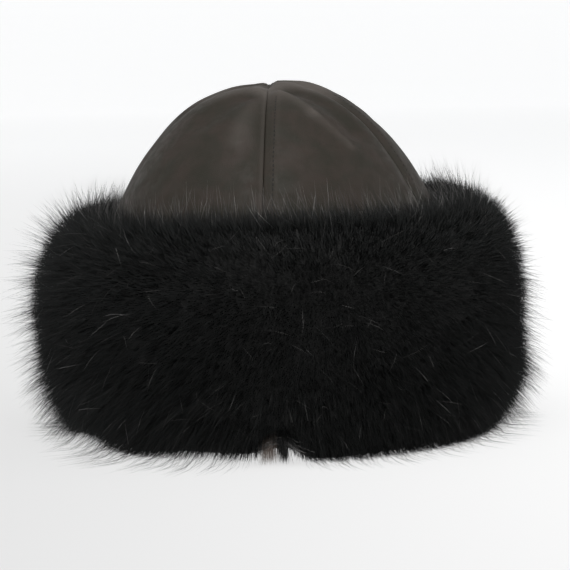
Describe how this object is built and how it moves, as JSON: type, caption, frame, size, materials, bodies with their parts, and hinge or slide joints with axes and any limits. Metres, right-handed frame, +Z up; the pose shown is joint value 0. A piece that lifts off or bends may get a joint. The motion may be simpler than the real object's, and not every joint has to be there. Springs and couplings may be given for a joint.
{
  "type": "fur-cuffed papakha hat",
  "caption": "Papakha hat with a sewn leather dome crown in a wide deep cuff of long black fur, open below for the head.",
  "frame": {"origin": "middle of the oval that the hat rests on, at the level of the table", "axes": "+Z up through the crown, the front of the hat faces -Y, the wearer's left is +X"},
  "size_m": [0.2853, 0.3196, 0.189],
  "materials": {
    "leather": "matte, soft and finely grained",
    "fur": "long glossy fur"
  },
  "bodies": {
    "root": {"crown_gore_front_left": "leather", "crown_gore_front_right": "leather", "crown_gore_right": "leather", "crown_gore_back": "leather", "crown_gore_left": "leather", "fur_cuff": "fur"}
  },
  "joints": []
}
